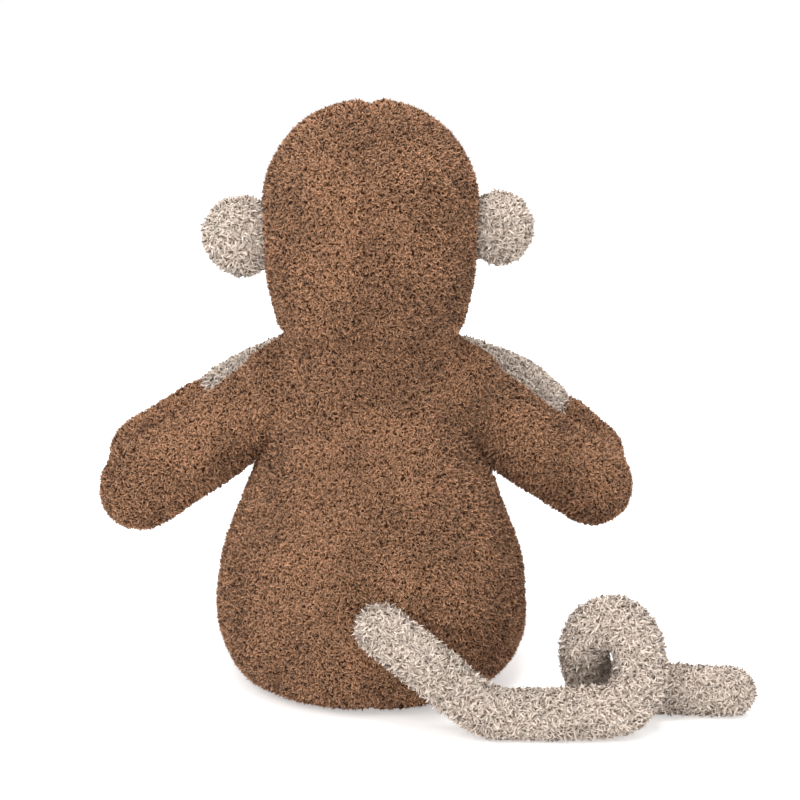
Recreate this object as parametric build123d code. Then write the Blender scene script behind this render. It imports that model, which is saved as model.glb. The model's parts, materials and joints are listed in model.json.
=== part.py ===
from build123d import *

import math
import os

# A soft stuffed monkey that sits upright. Millimetres, +Z up, the toy faces -Y, and its own left
# side is +X. The origin is the centre of the flat seat panel, on the surface the toy sits on.

# Cloth and fits
fabric = 1.5                # thickness of the plush cloth's backing
slack = 0.3                 # room between cloth and filling
joint_gap = 0.4             # room round a ball end in its socket
sweep_gap = 0.9             # room round a limb over the rest of its travel

# Torso: a pear shape turned about Z, with a domed neck that the head sits over
seat_radius = 50.0
seat_seam_height = 6.0
hip_radius = 77.0
hip_height = 37.0
neck_radius = 41.0
neck_height = 172.0
side_seam_y = -12.0         # the belly panel is in front of this plane
pouch_radius = 44.0         # pouch of pellets that keeps the toy sitting up
pouch_half_height = 15.0
pouch_above_seat = 3.0

# Head
head_radius = 51.0
head_middle_above_neck = 72.0
crown_height = 50.0
jaw_drop = 115.0
rim_above_neck = 10.0
neck_nod_forward = 10.0
neck_nod_back = 10.0

# Face
face_half_width = 37.0
face_half_height = 37.0
face_above_neck = 58.0
muzzle_radius = 29.0
muzzle_half_height = 19.0
muzzle_above_neck = 40.0
muzzle_set_back = 12.0      # from the face's surface to the middle of the muzzle
eye_radius = 4.6
eye_spread = 16.0
eye_above_neck = 71.0
eye_stem_radius = 1.5
eye_stem_length = 9.0
eye_washer_radius = 7.0
eye_washer_thickness = 1.5
nose_radius = 7.0
nose_half_thickness = 3.0
nose_above_muzzle = 8.0
mouth_radius = 15.0
mouth_thread = 1.6
mouth_above_muzzle = 5.0

# Ears
ear_half_width = 17.0
ear_half_height = 18.5
ear_thickness = 14.0
ear_above_neck = 56.0
ear_reach = 10.0            # from the head's side to the middle of the ear
ear_root_height = 24.0
ear_flop = 25.0

# Arms: a padded tube folded at the elbow, with the forearm lying in front of the upper arm
arm_radius = 19.0
upper_arm_length = {"left": 90.0, "right": 91.0}
arm_slope = {"left": 35.5, "right": 37.0}
shoulder_below_neck = 23.5
arm_forward = {"left": 2.0, "right": 16.0}
fold_gap = {"left": 8.0, "right": 4.0}
forearm_rise = {"left": 6.0, "right": 4.0}
wrist_reach = {"left": 52.0, "right": 66.0}     # sideways from the middle to the bend of the wrist
wrist_rise = {"left": 38.5, "right": 39.5}
hand_reach = {"left": 24.0, "right": 38.0}
hand_rise = {"left": 8.0, "right": 5.0}
hand_length = 82.0          # of the pale hand, along the arm from its tip
chest_gap = 6.0
elbow_tip_gap = 3.0
shoulder_lift = 60.0
elbow_open = 140.0

# Legs
leg_radius = 20.0
leg_spread = 36.0
leg_splay = 3.0
leg_length = 88.0           # from the hip to the ankle seam
foot_length = 34.0
hip_sink = 4.0
hip_lift = 40.0

# Tail: a padded tube that comes down to the floor, curls once and ends along the floor
tail_radius = 10.0
tail_root_height = 46.0
tail_root_side = -5.0
tail_root_proud = 2.0
tail_floor_gap = 1.5
tail_drop_run = 50.0
tail_floor_run = 59.0
tail_curl_half_width = 13.5
tail_curl_half_height = 22.0
tail_curl_depth = 34.0
tail_tip_run = 62.0
tail_split = 0.3            # share of the floor run that belongs to the root part
tail_swing_out = 35.0
tail_swing_in = 12.0
tail_curl_swing = 18.0

sides = {"left": 1, "right": -1}


def torso_radius(height):
    """Radius of the torso's outside at a height between the hips and the neck."""
    if height < hip_height:
        part_way = (hip_height - height) / hip_height
        return seat_radius + (hip_radius - seat_radius) * math.sqrt(1 - part_way ** 2)
    part_way = (height - hip_height) / (neck_height - hip_height)
    return neck_radius + (hip_radius - neck_radius) * (1 + math.cos(math.pi * part_way)) / 2


def head_width(above_neck):
    """Radius of the head's outside at a height above the neck."""
    from_middle = above_neck - head_middle_above_neck
    reach = crown_height if from_middle > 0 else jaw_drop
    return head_radius * math.sqrt(1 - (from_middle / reach) ** 2)


def surface_depth(radius, sideways):
    return math.sqrt(radius ** 2 - sideways ** 2)


# Where the joints are
neck_point = Vector(0, 0, neck_height)
tail_level = tail_radius + tail_floor_gap
tail_root = Vector(
    tail_root_side,
    surface_depth(torso_radius(tail_root_height), tail_root_side) + tail_root_proud,
    tail_root_height,
)


def shoulder_point(side):
    height = neck_height - shoulder_below_neck
    return Vector(sides[side] * torso_radius(height), 0, height)


def upper_arm_direction(side):
    slope = math.radians(arm_slope[side])
    forward = math.radians(arm_forward[side])
    level = math.cos(slope)
    return Vector(sides[side] * level * math.cos(forward), -level * math.sin(forward), -math.sin(slope))


def elbow_point(side):
    return shoulder_point(side) + upper_arm_direction(side) * upper_arm_length[side]


def forearm_start(side):
    return elbow_point(side) + Vector(0, -2 * arm_radius - fold_gap[side], forearm_rise[side])


def hand_points(side):
    """The wrist's bend and the middle of the hand's domed end."""
    start = forearm_start(side)
    wrist_height = start.Z + wrist_rise[side]
    hand_height = wrist_height + hand_rise[side]
    hand_depth = torso_radius(hand_height) + arm_radius + chest_gap
    wrist_depth = (hand_depth - start.Y) / 2
    wrist = Vector(sides[side] * wrist_reach[side], -wrist_depth, wrist_height)
    hand = Vector(sides[side] * hand_reach[side], -hand_depth, hand_height)
    return wrist, hand


def elbow_hinge(side):
    middle = (elbow_point(side) + forearm_start(side)) / 2
    return middle + upper_arm_direction(side) * (arm_radius + elbow_tip_gap)


def elbow_axis(side):
    """Axis that opens the elbow on either side by the right-hand rule."""
    across = (forearm_start(side) - elbow_point(side)).normalized()
    return across.cross(upper_arm_direction(side)).normalized()


def hip_point(side):
    depth = surface_depth(torso_radius(leg_radius), leg_spread) - hip_sink
    return Vector(sides[side] * leg_spread, -depth, leg_radius)


def leg_point(side, distance):
    splay = math.radians(leg_splay)
    run = Vector(sides[side] * math.sin(splay), -math.cos(splay), 0)
    return hip_point(side) + run * distance


def ear_root(side):
    return Vector(sides[side] * head_width(ear_above_neck), 0, neck_height + ear_above_neck)


def tail_points():
    """The tail's route: down to the floor, along it, once round a curl and on to the tip."""
    knee = tail_root + Vector(-0.4 * tail_drop_run, 11, -0.3 * (tail_root.Z - tail_level))
    landing = Vector(tail_root.X - tail_drop_run, tail_root.Y + 13, tail_level)
    curl_x = landing.X - tail_floor_run
    curl_z = tail_level + tail_curl_half_height
    around = []
    steps = 8
    for step in range(steps + 1):
        turn = math.radians(-90 + 360 * step / steps)
        around.append(
            Vector(
                curl_x - tail_curl_half_width * math.cos(turn),
                landing.Y - tail_curl_depth * step / steps,
                curl_z + tail_curl_half_height * math.sin(turn),
            )
        )
    tip = around[-1] + Vector(-tail_tip_run, 3, 0)
    return [tail_root, knee, landing], around, tip


def tail_hinge():
    (_, _, landing), around, _ = tail_points()
    return landing + (around[0] - landing) * tail_split


# Shape makers

def domed_tube(start, end, radius, end_radius=None):
    """A straight round tube with domed ends, from one dome's middle to the other's."""
    end_radius = end_radius or radius
    run = end - start
    low = CenterArc((0, 0), radius, -90, 90)
    high = CenterArc((0, run.length), end_radius, 0, 90)
    flank = Line((radius, 0), (end_radius, run.length))
    spine = Line((0, run.length + end_radius), (0, -radius))
    outline = make_face([low, flank, high, spine])
    solid = revolve(Plane.XZ * outline, Axis.Z)
    return Plane(origin=start, z_dir=run) * solid


def bent_tube(points, radius, domed_end=True):
    """A round tube along straight runs joined by tangent arcs, domed at its start and if asked at its end."""
    corners = []
    for before, corner, after in zip(points, points[1:], points[2:]):
        inward = corner - before
        outward = after - corner
        half_turn = math.radians(inward.get_angle(outward) / 2)
        corners.append(0.45 * min(inward.length, outward.length) / math.tan(half_turn))
    path = FilletPolyline(*points, radius=corners)
    section = Plane(origin=path @ 0, z_dir=path % 0) * Circle(radius)
    tube = sweep(section, path=path)
    solid = tube + Pos(*points[0]) * Sphere(radius)
    return solid + Pos(*points[-1]) * Sphere(radius) if domed_end else solid


def elliptic_curve(centre, radius, half_height, start, end, steps=10):
    """Part of an ellipse between two angles, as a smooth curve."""
    points = []
    for step in range(steps + 1):
        turn = math.radians(start + (end - start) * step / steps)
        points.append((centre[0] + radius * math.cos(turn), centre[1] + half_height * math.sin(turn)))
    ends = []
    for turn in (math.radians(start), math.radians(end)):
        ends.append((-radius * math.sin(turn), half_height * math.cos(turn)))
    return Spline(*points, tangents=ends)


def spheroid(centre, radius, half_height, axis=(0, 0, 1)):
    """A ball flattened along its axis."""
    rim = elliptic_curve((0, 0), radius, half_height, -90, 90)
    spine = Line((0, half_height), (0, -half_height))
    solid = revolve(Plane.XZ * make_face([rim, spine]), Axis.Z)
    return Plane(origin=centre, z_dir=axis) * solid


def block(low, high):
    """A box from its lowest to its highest corner."""
    size = Vector(*high) - Vector(*low)
    middle = (Vector(*high) + Vector(*low)) / 2
    return Pos(*middle) * Box(*size)


def carve(solid, tool_at, point, direction, angles):
    """Cuts a limb's shape from a solid at each of the angles that it turns through."""
    axis = Axis(point, direction)
    for step, angle in enumerate(angles):
        room = joint_gap if angle == 0 else sweep_gap
        tool = tool_at(room + 0.02 * step)
        solid = solid - (tool.rotate(axis, angle) if angle else tool)
    return solid


def torso_shape(inset):
    """The torso's pear with its neck dome, inset evenly from the outside."""
    top = neck_height
    samples = []
    count = 9
    for step in range(count + 1):
        height = hip_height + (neck_height - hip_height) * step / count
        samples.append((torso_radius(height) - inset, height))
    middle = (seat_radius - inset, hip_height)
    base = elliptic_curve(middle, hip_radius - seat_radius, hip_height - inset, -90, 0)
    flank = Spline(*samples, tangents=[(0, 1), (0, 1)])
    dome = CenterArc((0, top), neck_radius - inset, 0, 90)
    spine = Line((0, top + neck_radius - inset), (0, inset))
    floor_line = Line((0, inset), (seat_radius - inset, inset))
    return revolve(Plane.XZ * make_face([base, flank, dome, spine, floor_line]), Axis.Z)


def head_bulk(inset):
    """The head's outside, inset evenly and cut flat at its rim."""
    middle = neck_height + head_middle_above_neck
    rim = neck_height + rim_above_neck
    end_angle = math.degrees(math.asin((middle - rim) / jaw_drop))
    crown = elliptic_curve((0, middle), head_radius - inset, crown_height - inset, 0, 90)
    jaw = elliptic_curve((0, middle), head_radius - inset, jaw_drop, -end_angle, 0)
    rim_radius = (head_radius - inset) * math.cos(math.radians(end_angle))
    rim_line = Line((0, rim), (rim_radius, rim))
    spine = Line((0, middle + crown_height - inset), (0, rim))
    return revolve(Plane.XZ * make_face([crown, spine, rim_line, jaw]), Axis.Z)


def head_shape(inset):
    """The head hollowed to turn over the neck's dome."""
    return head_bulk(inset) - Pos(*neck_point) * Sphere(neck_radius + joint_gap)


def ear_shape(side, room):
    """One ear, a rounded pad on a round root, grown or shrunk evenly by room."""
    root = ear_root(side)
    middle = root + Vector(sides[side] * ear_reach, 0, 0)
    thick = ear_thickness + 2 * room
    outline = Plane(origin=middle, z_dir=(0, 1, 0)) * Ellipse(ear_half_width + room, ear_half_height + room)
    pad = extrude(outline, thick / 2, both=True)
    pad = fillet(pad.edges(), thick / 2 - 0.5)
    stem = Pos(*root) * Cylinder(thick / 2, ear_root_height + 2 * room)
    return pad + stem


def eye_plane(side):
    depth = surface_depth(head_width(eye_above_neck), eye_spread)
    centre = Vector(sides[side] * eye_spread, -depth, neck_height + eye_above_neck)
    return Plane(origin=centre, z_dir=(centre.X, centre.Y, 0))


def eye_stem(side, room):
    length = eye_stem_length + 1
    stem = Cylinder(eye_stem_radius + room, length, align=(Align.CENTER, Align.CENTER, Align.MAX))
    return eye_plane(side) * Pos(0, 0, 1) * stem


def eye_washer(side, room):
    washer = Cylinder(eye_washer_radius + room, eye_washer_thickness + 2 * room)
    return eye_plane(side) * Pos(0, 0, -fabric - slack - 1 - eye_washer_thickness / 2) * washer


def muzzle_centre():
    depth = head_width(muzzle_above_neck) - muzzle_set_back
    return Vector(0, -depth, neck_height + muzzle_above_neck)


def upper_arm_tool(side):
    start = shoulder_point(side)
    return lambda room: domed_tube(start, elbow_point(side), arm_radius + room)


def leg_tool(side):
    return lambda room: domed_tube(hip_point(side), leg_point(side, leg_length), leg_radius + room)


def tail_root_tool(room):
    root_run, _, _ = tail_points()
    return bent_tube([*root_run, tail_hinge()], tail_radius + room, domed_end=False)


def carve_torso(solid):
    """Cuts the sockets that the arms, legs and tail turn in."""
    for side, sign in sides.items():
        lifts = [0, shoulder_lift / 4, shoulder_lift / 2, shoulder_lift * 3 / 4, shoulder_lift]
        solid = carve(solid, upper_arm_tool(side), shoulder_point(side), (0, -sign, 0), lifts)
        lifts = [0, hip_lift / 3, hip_lift * 2 / 3, hip_lift]
        solid = carve(solid, leg_tool(side), hip_point(side), (-1, 0, 0), lifts)
    swings = [0, -tail_swing_out, tail_swing_in]
    return carve(solid, tail_root_tool, tail_root, (0, 0, 1), swings)


def carve_head(solid, room):
    """Cuts the ear slots, and the holes of the eyes' stems and washers."""
    for side in sides:
        turns = [0, -ear_flop, -ear_flop / 2, ear_flop / 2, ear_flop]
        solid = carve(solid, lambda gap: ear_shape(side, gap), ear_root(side), (0, 0, 1), turns)
        solid = solid - eye_stem(side, room) - eye_washer(side, room)
    return solid


# Sub-parts, each returned as a dictionary of node name to solid

def make_torso():
    outer = torso_shape(0)
    skin = carve_torso(outer - torso_shape(fabric))
    filling = carve_torso(torso_shape(fabric + slack))
    reach = hip_radius + 5
    top = neck_height + neck_radius + 5
    low = seat_seam_height
    nodes = {
        "seat_panel": skin & block((-reach, -reach, -1), (reach, reach, low)),
        "belly_panel": skin & block((-reach, -reach, low), (reach, side_seam_y, top)),
        "back_panel_left": skin & block((0, side_seam_y, low), (reach, reach, top)),
        "back_panel_right": skin & block((-reach, side_seam_y, low), (0, reach, top)),
    }
    pouch_height = fabric + slack + pouch_above_seat + pouch_half_height
    centre = (0, 0, pouch_height)
    pouch = spheroid(centre, pouch_radius, pouch_half_height)
    hollow = spheroid(centre, pouch_radius - fabric, pouch_half_height - fabric)
    pellets = spheroid(centre, pouch_radius - fabric - slack, pouch_half_height - fabric - slack)
    nodes["torso_filling"] = filling - spheroid(centre, pouch_radius + slack, pouch_half_height + slack)
    nodes["pellet_pouch"] = pouch - hollow
    nodes["pouch_pellets"] = pellets
    return nodes


def make_head():
    outer = head_shape(0)
    skin = carve_head(outer - head_shape(fabric), slack)
    filling = carve_head(head_shape(fabric + slack), slack)
    face_plane = Plane(origin=(0, 0, neck_height + face_above_neck), z_dir=(0, -1, 0))
    face_cutter = extrude(face_plane * Ellipse(face_half_width, face_half_height), head_radius + 5)
    top = neck_height + head_middle_above_neck + crown_height + 5
    reach = head_radius + 5
    left = block((0, -reach, neck_height), (reach, reach, top))
    right = block((-reach, -reach, neck_height), (0, reach, top))
    hood = skin - face_cutter
    centre = muzzle_centre()
    muzzle = spheroid(centre, muzzle_radius, muzzle_half_height) - head_bulk(-slack / 3)
    inner = spheroid(centre, muzzle_radius - fabric, muzzle_half_height - fabric)
    core = spheroid(centre, muzzle_radius - fabric - slack, muzzle_half_height - fabric - slack)
    nodes = {
        "head_panel_left": hood & left,
        "head_panel_right": hood & right,
        "face_panel": skin & face_cutter,
        "head_filling": filling,
        "muzzle_skin": muzzle - inner,
        "muzzle_filling": core - head_bulk(-slack),
    }
    nodes.update(make_face_details(centre))
    return nodes


def make_face_details(centre):
    nodes = {}
    for side in sides:
        dome = eye_plane(side) * Sphere(eye_radius)
        front = eye_plane(side) * Pos(0, 0, eye_radius + 0.3) * Box(20, 20, 2 * eye_radius)
        nodes[f"eye_{side}"] = (dome & front) + eye_stem(side, 0)
        nodes[f"eye_washer_{side}"] = eye_washer(side, 0) - eye_stem(side, slack / 3)
    muzzle = spheroid(centre, muzzle_radius, muzzle_half_height)
    rise = nose_above_muzzle / muzzle_half_height
    front = centre.Y - muzzle_radius * math.sqrt(1 - rise ** 2)
    nose_centre = (0, front, centre.Z + nose_above_muzzle)
    tilt = (0, -1, rise * muzzle_radius / muzzle_half_height)
    nodes["nose"] = spheroid(nose_centre, nose_radius, nose_half_thickness, tilt) - muzzle
    ring_plane = Plane(origin=(0, 0, centre.Z + mouth_above_muzzle), z_dir=(0, -1, 0))
    ring = Circle(mouth_radius) - Circle(mouth_radius - mouth_thread)
    smile = extrude(ring_plane * ring, head_radius + muzzle_radius)
    raised = spheroid(centre, muzzle_radius + mouth_thread / 2, muzzle_half_height + mouth_thread / 2)
    width = 0.8 * mouth_radius
    lower = block((-width, -200, 0), (width, centre.Y, centre.Z + mouth_above_muzzle - mouth_radius * 0.45))
    nodes["mouth_stitch"] = (raised - muzzle) & smile & lower
    return nodes


def make_ear(side):
    shell = ear_shape(side, 0) - ear_shape(side, -fabric)
    front = block((-200, -50, 0), (200, 0, 500))
    back = block((-200, 0, 0), (200, 50, 500))
    return {
        f"ear_front_{side}": shell & front,
        f"ear_back_{side}": shell & back,
        f"ear_padding_{side}": ear_shape(side, -fabric - slack),
    }


def make_arm(side):
    start = shoulder_point(side)
    end = elbow_point(side)
    wrist, hand = hand_points(side)
    fold = [forearm_start(side), wrist, hand]
    sleeve = bent_tube(fold, arm_radius) - bent_tube(fold, arm_radius - fabric)
    beyond_wrist = hand_length - arm_radius - (hand - wrist).length
    back = (fold[0] - wrist).normalized()
    seam = Plane(origin=wrist + back * beyond_wrist, z_dir=-back)
    hand_side = seam * Box(300, 300, 300, align=(Align.CENTER, Align.CENTER, Align.MIN))
    inner = arm_radius - fabric
    return {
        f"upper_arm_sleeve_{side}": domed_tube(start, end, arm_radius) - domed_tube(start, end, inner),
        f"upper_arm_filling_{side}": domed_tube(start, end, inner - slack),
        f"forearm_sleeve_{side}": sleeve - hand_side,
        f"hand_{side}": sleeve & hand_side,
        f"forearm_filling_{side}": bent_tube(fold, inner - slack),
    }


def make_leg(side):
    hip = hip_point(side)
    toe = leg_point(side, leg_length + foot_length)
    sleeve = domed_tube(hip, toe, leg_radius) - domed_tube(hip, toe, leg_radius - fabric)
    ankle = Plane(origin=leg_point(side, leg_length), z_dir=toe - hip)
    foot_side = ankle * Box(300, 300, 300, align=(Align.CENTER, Align.CENTER, Align.MIN))
    return {
        f"leg_sleeve_{side}": sleeve - foot_side,
        f"foot_{side}": sleeve & foot_side,
        f"leg_filling_{side}": domed_tube(hip, toe, leg_radius - fabric - slack),
    }


def make_tail():
    root_run, around, tip = tail_points()
    hinge = tail_hinge()
    root_route = [*root_run, hinge]
    curl_route = [hinge, *around, tip]
    inner = tail_radius - fabric
    rim_room = tail_radius * math.sin(math.radians(tail_curl_swing)) + sweep_gap
    ball = Plane(origin=hinge, z_dir=around[0] - hinge) * Sphere(math.hypot(tail_radius, rim_room))
    root_tube = bent_tube(root_route, tail_radius, domed_end=False)
    hollow = bent_tube(root_route, inner, domed_end=False)
    return {
        "tail_root_sleeve": root_tube - ball - hollow,
        "tail_root_filling": bent_tube(root_route, inner - slack, domed_end=False) - ball,
        "tail_curl_sleeve": bent_tube(curl_route, tail_radius) - bent_tube(curl_route, inner),
        "tail_curl_filling": bent_tube(curl_route, inner - slack),
    }


def main():
    os.makedirs("parts", exist_ok=True)
    nodes = make_torso()
    nodes.update(make_head())
    nodes.update(make_tail())
    for side in sides:
        nodes.update(make_ear(side))
        nodes.update(make_arm(side))
        nodes.update(make_leg(side))
    for name, shape in nodes.items():
        export_step(Compound(children=shape.solids()) if len(shape.solids()) > 1 else shape.solid(),
                    f"parts/{name}.step")
    print(len(nodes), "nodes written")


if __name__ == "__main__":
    main()
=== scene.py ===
import bmesh
import bpy
import json
import math
import random
from mathutils import Matrix, Vector, noise
from mathutils.bvhtree import BVHTree

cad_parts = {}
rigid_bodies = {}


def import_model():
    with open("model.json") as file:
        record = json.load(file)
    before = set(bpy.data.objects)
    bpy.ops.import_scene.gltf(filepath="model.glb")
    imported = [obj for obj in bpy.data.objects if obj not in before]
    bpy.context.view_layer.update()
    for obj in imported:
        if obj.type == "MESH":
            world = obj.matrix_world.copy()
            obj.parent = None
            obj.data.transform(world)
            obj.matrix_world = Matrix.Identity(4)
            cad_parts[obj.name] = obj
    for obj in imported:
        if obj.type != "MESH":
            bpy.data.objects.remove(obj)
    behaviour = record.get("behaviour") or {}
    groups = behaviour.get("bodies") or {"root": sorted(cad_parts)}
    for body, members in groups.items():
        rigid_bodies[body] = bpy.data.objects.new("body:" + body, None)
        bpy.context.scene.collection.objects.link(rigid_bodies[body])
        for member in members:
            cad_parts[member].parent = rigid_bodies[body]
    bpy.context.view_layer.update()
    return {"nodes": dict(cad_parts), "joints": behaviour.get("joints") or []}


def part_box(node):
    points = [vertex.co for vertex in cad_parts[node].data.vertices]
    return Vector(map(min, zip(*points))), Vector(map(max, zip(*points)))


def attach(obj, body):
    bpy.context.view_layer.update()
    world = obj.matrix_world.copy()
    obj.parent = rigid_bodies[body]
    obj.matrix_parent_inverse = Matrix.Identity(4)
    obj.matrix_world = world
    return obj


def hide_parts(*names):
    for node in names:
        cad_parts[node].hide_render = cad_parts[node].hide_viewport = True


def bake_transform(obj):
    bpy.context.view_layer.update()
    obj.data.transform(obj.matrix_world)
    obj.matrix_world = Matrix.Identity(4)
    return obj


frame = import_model()

scene = bpy.context.scene
sideSigns = {"left": 1, "right": -1}
joints = {joint["name"]: joint for joint in frame["joints"]}
up = Vector((0, 0, 1))


# small helpers

def jointPoint(name):
    return Vector(joints[name]["pos_m"])


def boxOf(*nodes):
    lows, highs = zip(*(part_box(node) for node in nodes))
    return Vector(map(min, zip(*lows))), Vector(map(max, zip(*highs)))


def newPiece(name, bm):
    mesh = bpy.data.meshes.new(name)
    bm.to_mesh(mesh)
    bm.free()
    piece = bpy.data.objects.new(name, mesh)
    scene.collection.objects.link(piece)
    return piece


def copyOf(piece, name):
    twin = bpy.data.objects.new(name, piece.data.copy())
    scene.collection.objects.link(twin)
    return twin


def dropPiece(piece):
    mesh = piece.data
    bpy.data.objects.remove(piece)
    bpy.data.meshes.remove(mesh)


def applyModifiers(piece):
    graph = bpy.context.evaluated_depsgraph_get()
    mesh = bpy.data.meshes.new_from_object(piece.evaluated_get(graph))
    piece.modifiers.clear()
    piece.data = mesh


def editMesh(piece, change):
    bm = bmesh.new()
    bm.from_mesh(piece.data)
    change(bm)
    bm.to_mesh(piece.data)
    bm.free()
    piece.data.update()


def surfaceOf(*pieces):
    bm = bmesh.new()
    for piece in pieces:
        bm.from_mesh(piece.data)
    tree = BVHTree.FromBMesh(bm)
    bm.free()
    return tree


def depthInside(tree, point):
    place, normal, _, distance = tree.find_nearest(point)
    if place is None or (point - place).dot(normal) >= 0:
        return 0
    return distance


# padded shapes: a rough blank, one even skin over it, then stuffing pressure

def evenSkin(piece, voxel, smoothing):
    remesh = piece.modifiers.new("remesh", "REMESH")
    remesh.mode = "VOXEL"
    remesh.voxel_size = voxel
    applyModifiers(piece)

    def relax(bm):
        for _ in range(smoothing):
            bmesh.ops.smooth_vert(
                bm, verts=bm.verts, factor=0.5, use_axis_x=True, use_axis_y=True, use_axis_z=True
            )
        bmesh.ops.recalc_face_normals(bm, faces=bm.faces)

    editMesh(piece, relax)


def stuff(piece, cap, onSeam=None, pressure=4, lumps=0.0010, lumpSize=0.026):
    # the stuffing swells the cloth between its seams, and no point moves further than the cap
    start = [vert.co.copy() for vert in piece.data.vertices]
    cloth = piece.modifiers.new("stuffing", "CLOTH")
    cloth.settings.use_pressure = True
    cloth.settings.uniform_pressure_force = pressure
    cloth.settings.effector_weights.gravity = 0
    cloth.collision_settings.use_collision = False
    if onSeam:
        group = piece.vertex_groups.new(name="seam")
        group.add([i for i, co in enumerate(start) if onSeam(co)], 1, "REPLACE")
        cloth.settings.vertex_group_mass = "seam"
    for step in range(1, 21):
        scene.frame_set(step)
    applyModifiers(piece)
    for vert, co in zip(piece.data.vertices, start):
        move = vert.co - co
        if move.length > cap:
            vert.co = co + move * (cap / move.length)
    piece.vertex_groups.clear()
    scene.frame_set(1)
    smooth = piece.modifiers.new("smooth", "SUBSURF")
    smooth.levels = 1
    smooth.render_levels = 1
    applyModifiers(piece)

    def settle(bm):
        # the filling is never quite even
        bm.normal_update()
        for vert in bm.verts:
            vert.co += vert.normal * lumps * noise.noise(vert.co / lumpSize)

    editMesh(piece, settle)


def fillOut(piece, nodes, axes="xyz", more=0):
    # brings the skin out or in, all over, until it is as wide as the frame's own piece
    low, high = boxOf(*nodes)
    spots = [vert.co for vert in piece.data.vertices]
    short = [
        (high[n] - low[n] - max(co[n] for co in spots) + min(co[n] for co in spots)) / 2
        for n in ("xyz".index(axis) for axis in axes)
    ]
    out = sum(short) / len(short) + more

    def push(bm):
        bm.normal_update()
        for vert in bm.verts:
            vert.co += vert.normal * out

    editMesh(piece, push)
    print(piece.name, "brought out by", round(out * 1000, 2), "mm")


def pinch(piece, distanceTo, depth, width):
    # draws the cloth in along a seam
    def draw(bm):
        bm.normal_update()
        moves = [
            (vert, vert.normal * depth * math.exp(-((distanceTo(vert.co) / width) ** 2)))
            for vert in bm.verts
        ]
        for vert, move in moves:
            vert.co -= move

    editMesh(piece, draw)


def routeTube(name, points, radii):
    # a tube along a smooth route, with a round end at each end
    curve = bpy.data.curves.new(name, "CURVE")
    curve.dimensions = "3D"
    curve.bevel_depth = 1
    curve.bevel_resolution = 4
    curve.resolution_u = 8
    curve.use_fill_caps = True
    route = curve.splines.new("NURBS")
    route.points.add(len(points) - 1)
    for spot, point, radius in zip(route.points, points, radii):
        spot.co = (*point, 1)
        spot.radius = radius
    route.use_endpoint_u = True
    route.order_u = 3
    line = bpy.data.objects.new(name, curve)
    scene.collection.objects.link(line)
    graph = bpy.context.evaluated_depsgraph_get()
    mesh = bpy.data.meshes.new_from_object(line.evaluated_get(graph))
    bpy.data.objects.remove(line)
    bpy.data.curves.remove(curve)
    bm = bmesh.new()
    bm.from_mesh(mesh)
    bpy.data.meshes.remove(mesh)
    bmesh.ops.remove_doubles(bm, verts=bm.verts, dist=1e-6)
    for end in (0, -1):
        bmesh.ops.create_icosphere(
            bm, subdivisions=3, radius=radii[end], matrix=Matrix.Translation(points[end])
        )
    return newPiece(name, bm)


def turnedBlank(name, outline, steps=56):
    # an outline of (radius, height) turned about the middle
    bm = bmesh.new()
    verts = [bm.verts.new((radius, 0, height)) for radius, height in outline]
    edges = [bm.edges.new(pair) for pair in zip(verts, verts[1:])]
    bmesh.ops.spin(
        bm, geom=verts + edges, cent=(0, 0, 0), axis=(0, 0, 1), angle=math.tau,
        steps=steps, use_merge=True, use_duplicate=False,
    )
    bmesh.ops.remove_doubles(bm, verts=bm.verts, dist=1e-5)
    bmesh.ops.recalc_face_normals(bm, faces=bm.faces)
    return newPiece(name, bm)


def outlineOf(nodes, heading, heights):
    # how far the frame's own surface is from the middle at each height
    tree = surfaceOf(*(frame["nodes"][node] for node in nodes))
    heading = Vector((*heading, 0)).normalized()
    found = []
    for height in heights:
        start = heading * 0.3 + up * height
        place, _, _, _ = tree.ray_cast(start, -heading, 0.3)
        if place is not None:
            found.append((math.hypot(place.x, place.y), height))
    return found


def panel(piece, name, cuts, thickness):
    # the part of a skin on the kept side of each cut, as cloth with a real thickness
    twin = copyOf(piece, name)

    def cut(bm):
        for point, normal in cuts:
            bmesh.ops.bisect_plane(
                bm, geom=bm.verts[:] + bm.edges[:] + bm.faces[:], dist=1e-6,
                plane_co=point, plane_no=normal, clear_inner=True,
            )

    editMesh(twin, cut)
    return backed(twin, thickness)


def backed(piece, thickness):
    # gives an open skin its thickness, and notes which side carries the pile
    def thicken(bm):
        outer = bm.verts.layers.float.new("cover")
        skin = set(bm.verts)
        bm.normal_update()
        bmesh.ops.solidify(bm, geom=bm.faces[:], thickness=thickness)
        for vert in bm.verts:
            vert[outer] = 1 if vert in skin else 0

    editMesh(piece, thicken)
    return piece


# pile: small bent tufts scattered over the cloth

# the root colours are painted shade: they darken the bare cloth and the foot of each strand, down among
# the strands
browns = {
    "root": (0.060, 0.022, 0.008),
    "body": (0.230, 0.110, 0.054),
    "tip": (0.510, 0.298, 0.185),
}
creams = {
    "root": (0.350, 0.268, 0.212),
    "body": (0.535, 0.448, 0.380),
    "tip": (0.680, 0.600, 0.532),
}
piles = {
    "brown": {
        "length": 0.0028, "width": 0.00072, "bend": 1.0, "density": 1900000,
        "shortest": 0.70, "longest": 1.20, "upright": 0.05, "flat": 0.85, "swirl": 22.0,
    },
    "cream": {
        "length": 0.0036, "width": 0.00078, "bend": 1.0, "density": 1500000,
        "shortest": 0.65, "longest": 1.20, "upright": 0.05, "flat": 0.85, "swirl": 16.0,
    },
    "face": {
        "length": 0.0020, "width": 0.0008, "bend": 1.0, "density": 1500000,
        "shortest": 0.75, "longest": 1.15, "upright": 0.10, "flat": 0.80, "swirl": 10.0,
    },
}


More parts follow.
